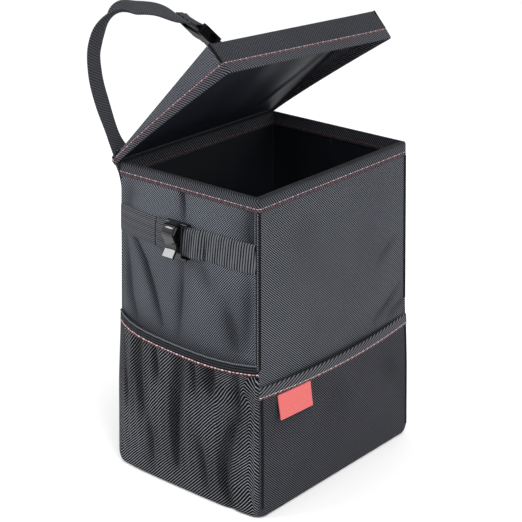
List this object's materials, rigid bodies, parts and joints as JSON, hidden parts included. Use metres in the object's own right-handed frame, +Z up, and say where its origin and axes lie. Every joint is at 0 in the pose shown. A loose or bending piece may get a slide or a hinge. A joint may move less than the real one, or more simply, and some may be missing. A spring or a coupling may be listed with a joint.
{
  "type": "car trash bin",
  "caption": "Soft box-shaped car trash bin with an overlapping flip lid, mesh and flat pockets, side webbing with clips, and a buckled hang strap.",
  "frame": {"origin": "middle of the base, on the surface that the bin stands on", "axes": "+Z up, -Y out of the front panel with the flat pocket, +Y to the lid's hinge and the hang strap, -X to the left gusset as the front is faced"},
  "size_m": [0.2476, 0.2207, 0.3955],
  "materials": {
    "cloth": "woven black cloth, faintly diagonal",
    "twill": "ribbed black tape with coral stitching",
    "mesh": "gathered black mesh",
    "webbing": "ribbed black webbing",
    "liner": "smooth dark film",
    "board": "plain board",
    "tab": "coral, plain",
    "plastic": "glossy black"
  },
  "bodies": {
    "bin": {"front_panel": "cloth", "back_panel": "cloth", "base_panel": "cloth", "left_gusset": "cloth", "right_gusset": "cloth", "front_pocket": "cloth", "rim_binding": "twill", "front_pocket_binding": "twill", "left_pocket_binding": "twill", "right_pocket_binding": "twill", "lid_hinge_tape": "twill", "left_mesh_pocket": "mesh", "right_mesh_pocket": "mesh", "left_webbing": "webbing", "right_webbing": "webbing", "strap_left": "webbing", "strap_right": "webbing", "liner": "liner", "front_board": "board", "back_board": "board", "base_board": "board", "label_tab": "tab", "buckle_socket": "plastic"},
    "lid": {"lid_top": "cloth", "lid_board": "board", "lid_lining": "liner", "lid_front_wall": "cloth", "lid_left_wall": "cloth", "lid_right_wall": "cloth", "lid_binding": "twill"},
    "left_clip": {"left_clip": "plastic"},
    "right_clip": {"right_clip": "plastic"},
    "buckle_plug": {"buckle_plug": "plastic"}
  },
  "joints": [
    {"name": "lid_hinge", "type": "hinge", "parent": "bin", "child": "lid", "pos_m": [0, 0.0764, 0.2803], "axis": [-1, 0, 0], "range_deg": [-44.5, 50.5]},
    {"name": "left_clip_slide", "type": "slide", "parent": "bin", "child": "left_clip", "axis": [0, 1, 0], "range_m": [-0.01, 0.01]},
    {"name": "right_clip_slide", "type": "slide", "parent": "bin", "child": "right_clip", "axis": [0, 1, 0], "range_m": [-0.01, 0.01]},
    {"name": "buckle_release", "type": "slide", "parent": "bin", "child": "buckle_plug", "axis": [0.7504, -0.03, -0.6603], "range_m": [0, 0.016], "deforming": ["strap_right"]}
  ]
}
